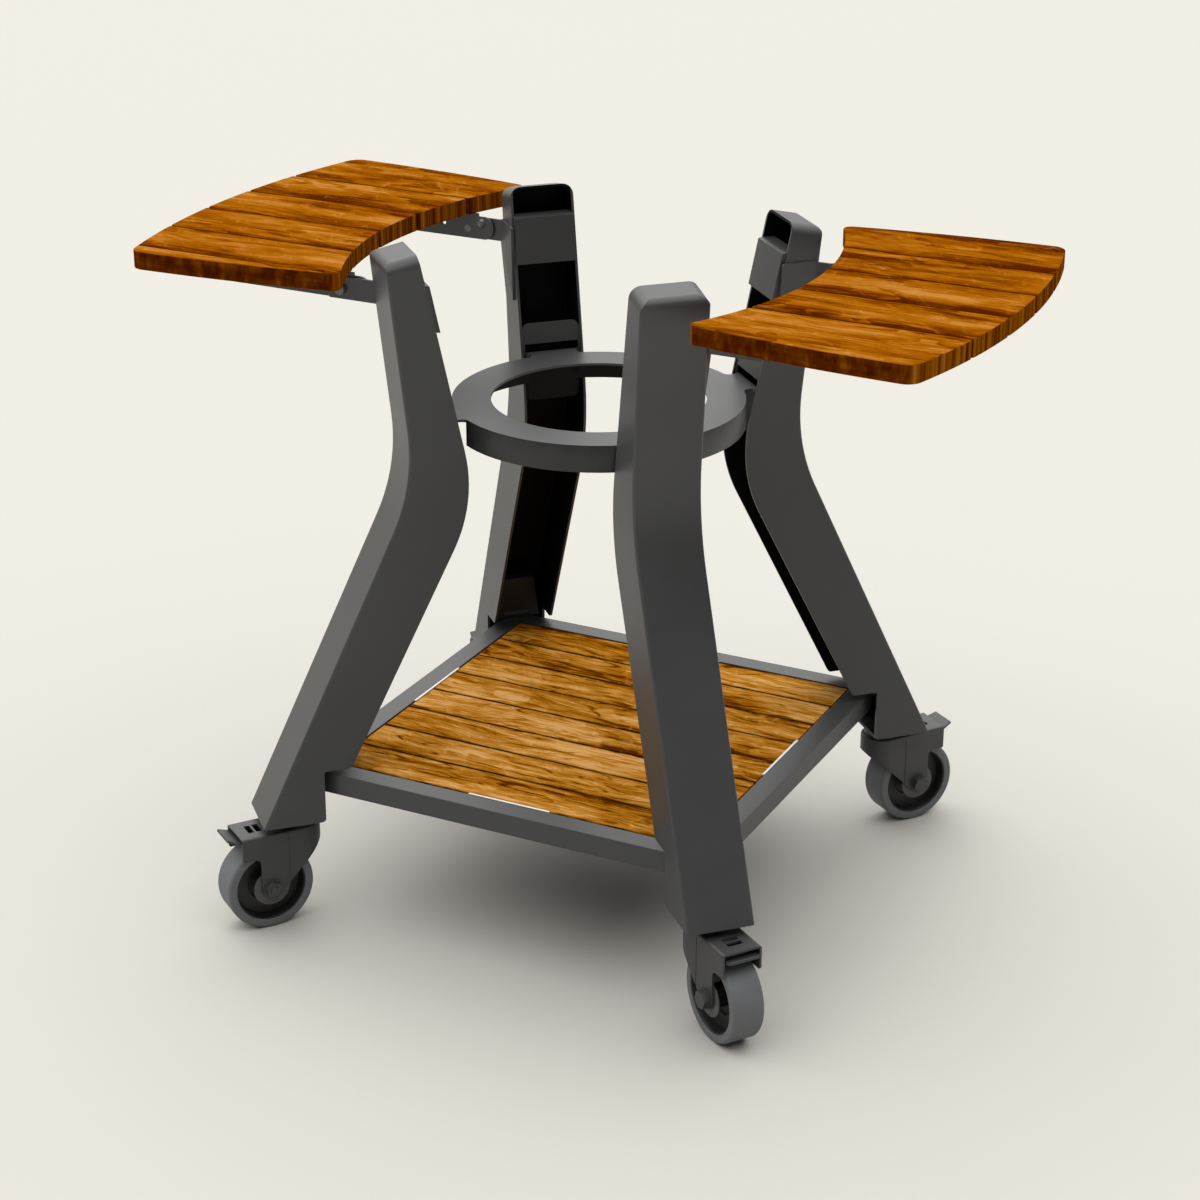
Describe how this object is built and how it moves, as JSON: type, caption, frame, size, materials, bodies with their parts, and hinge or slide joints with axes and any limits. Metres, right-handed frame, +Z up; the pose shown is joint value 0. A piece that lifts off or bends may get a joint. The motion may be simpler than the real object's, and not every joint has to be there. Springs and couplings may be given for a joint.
{
  "type": "kamado grill table",
  "caption": "Wheeled stand for an egg-shaped ceramic grill: bent sheet legs, a waist ring, a slatted lower deck, braked swivel casters and fold-down slatted side shelves.",
  "frame": {"origin": "on the floor under the middle of the table", "axes": "+Z up, +X along the two side shelves to the right, +Y to the back"},
  "size_m": [0.964, 0.6822, 0.7748],
  "materials": {
    "frame_coat": "satin charcoal powder coat",
    "deck_wood": "oiled hardwood, brushed grain",
    "shelf_wood": "oiled hardwood, strong dark grain",
    "batten_wood": "plain sawn hardwood",
    "fork_steel": "satin dark grey coating",
    "hub_plastic": "black moulded hub",
    "tyre_grey": "mid grey rubber",
    "bolts": "dark plated steel"
  },
  "bodies": {
    "stand": {"leg_front_left": "frame_coat", "leg_front_right": "frame_coat", "leg_back_right": "frame_coat", "leg_back_left": "frame_coat", "cradle_pads": "frame_coat", "waist_ring": "frame_coat", "ring_seats": "frame_coat", "frame_bar_front": "frame_coat", "frame_bar_right": "frame_coat", "frame_bar_back": "frame_coat", "frame_bar_left": "frame_coat", "corner_plates": "frame_coat", "deck_board_1": "deck_wood", "deck_board_2": "deck_wood", "deck_board_3": "deck_wood", "deck_board_4": "deck_wood", "deck_board_5": "deck_wood", "deck_board_6": "deck_wood", "deck_board_7": "deck_wood", "deck_board_8": "deck_wood", "deck_bearers": "frame_coat", "caster_plates": "frame_coat", "shelf_arm_front_left": "frame_coat", "shelf_arm_front_right": "frame_coat", "shelf_arm_back_left": "frame_coat", "shelf_arm_back_right": "frame_coat"},
    "right_shelf": {"right_board_1": "shelf_wood", "right_board_2": "shelf_wood", "right_board_3": "shelf_wood", "right_board_4": "shelf_wood", "right_board_5": "shelf_wood", "shelf_rail_front_right": "frame_coat", "shelf_rail_back_right": "frame_coat", "right_bolts": "bolts", "right_battens": "batten_wood"},
    "left_shelf": {"left_board_1": "shelf_wood", "left_board_2": "shelf_wood", "left_board_3": "shelf_wood", "left_board_4": "shelf_wood", "left_board_5": "shelf_wood", "shelf_rail_front_left": "frame_coat", "shelf_rail_back_left": "frame_coat", "left_bolts": "bolts", "left_battens": "batten_wood"},
    "caster_front_left": {"fork_front_left": "fork_steel"},
    "wheel_front_left": {"tyre_front_left": "tyre_grey", "hub_front_left": "hub_plastic"},
    "pedal_front_left": {"brake_pedal_front_left": "fork_steel"},
    "caster_front_right": {"fork_front_right": "fork_steel"},
    "wheel_front_right": {"tyre_front_right": "tyre_grey", "hub_front_right": "hub_plastic"},
    "pedal_front_right": {"brake_pedal_front_right": "fork_steel"},
    "caster_back_right": {"fork_back_right": "fork_steel"},
    "wheel_back_right": {"tyre_back_right": "tyre_grey", "hub_back_right": "hub_plastic"},
    "pedal_back_right": {"brake_pedal_back_right": "fork_steel"},
    "caster_back_left": {"fork_back_left": "fork_steel"},
    "wheel_back_left": {"tyre_back_left": "tyre_grey", "hub_back_left": "hub_plastic"},
    "pedal_back_left": {"brake_pedal_back_left": "fork_steel"}
  },
  "joints": [
    {"name": "right_shelf_fold", "type": "hinge", "parent": "stand", "child": "right_shelf", "pos_m": [0.241, 0, 0.716], "axis": [0, 1, 0], "range_deg": [0, 90]},
    {"name": "left_shelf_fold", "type": "hinge", "parent": "stand", "child": "left_shelf", "pos_m": [-0.241, 0, 0.716], "axis": [0, -1, 0], "range_deg": [0, 90]},
    {"name": "swivel_front_left", "type": "hinge", "parent": "stand", "child": "caster_front_left", "pos_m": [-0.25576, -0.25576, 0.13], "axis": [0, 0, 1], "continuous": true},
    {"name": "roll_front_left", "type": "hinge", "parent": "caster_front_left", "child": "wheel_front_left", "pos_m": [-0.28003, -0.28967, 0.0513], "axis": [0.8131, -0.5821, 0], "continuous": true},
    {"name": "brake_front_left", "type": "hinge", "parent": "caster_front_left", "child": "pedal_front_left", "pos_m": [-0.28778, -0.30048, 0.1066], "axis": [0.8131, -0.5821, 0], "range_deg": [0, 6]},
    {"name": "swivel_front_right", "type": "hinge", "parent": "stand", "child": "caster_front_right", "pos_m": [0.25576, -0.25576, 0.13], "axis": [0, 0, 1], "continuous": true},
    {"name": "roll_front_right", "type": "hinge", "parent": "caster_front_right", "child": "wheel_front_right", "pos_m": [0.28967, -0.28003, 0.0513], "axis": [0.5821, 0.8131, 0], "continuous": true},
    {"name": "brake_front_right", "type": "hinge", "parent": "caster_front_right", "child": "pedal_front_right", "pos_m": [0.30048, -0.28778, 0.1066], "axis": [0.5821, 0.8131, 0], "range_deg": [-6, 0]},
    {"name": "swivel_back_right", "type": "hinge", "parent": "stand", "child": "caster_back_right", "pos_m": [0.25576, 0.25576, 0.13], "axis": [0, 0, 1], "continuous": true},
    {"name": "roll_back_right", "type": "hinge", "parent": "caster_back_right", "child": "wheel_back_right", "pos_m": [0.28003, 0.28967, 0.0513], "axis": [-0.8131, 0.5821, 0], "continuous": true},
    {"name": "brake_back_right", "type": "hinge", "parent": "caster_back_right", "child": "pedal_back_right", "pos_m": [0.28778, 0.30048, 0.1066], "axis": [-0.8131, 0.5821, 0], "range_deg": [0, 6]},
    {"name": "swivel_back_left", "type": "hinge", "parent": "stand", "child": "caster_back_left", "pos_m": [-0.25576, 0.25576, 0.13], "axis": [0, 0, 1], "continuous": true},
    {"name": "roll_back_left", "type": "hinge", "parent": "caster_back_left", "child": "wheel_back_left", "pos_m": [-0.28967, 0.28003, 0.0513], "axis": [-0.5821, -0.8131, 0], "continuous": true},
    {"name": "brake_back_left", "type": "hinge", "parent": "caster_back_left", "child": "pedal_back_left", "pos_m": [-0.30048, 0.28778, 0.1066], "axis": [-0.5821, -0.8131, 0], "range_deg": [0, 6]}
  ]
}
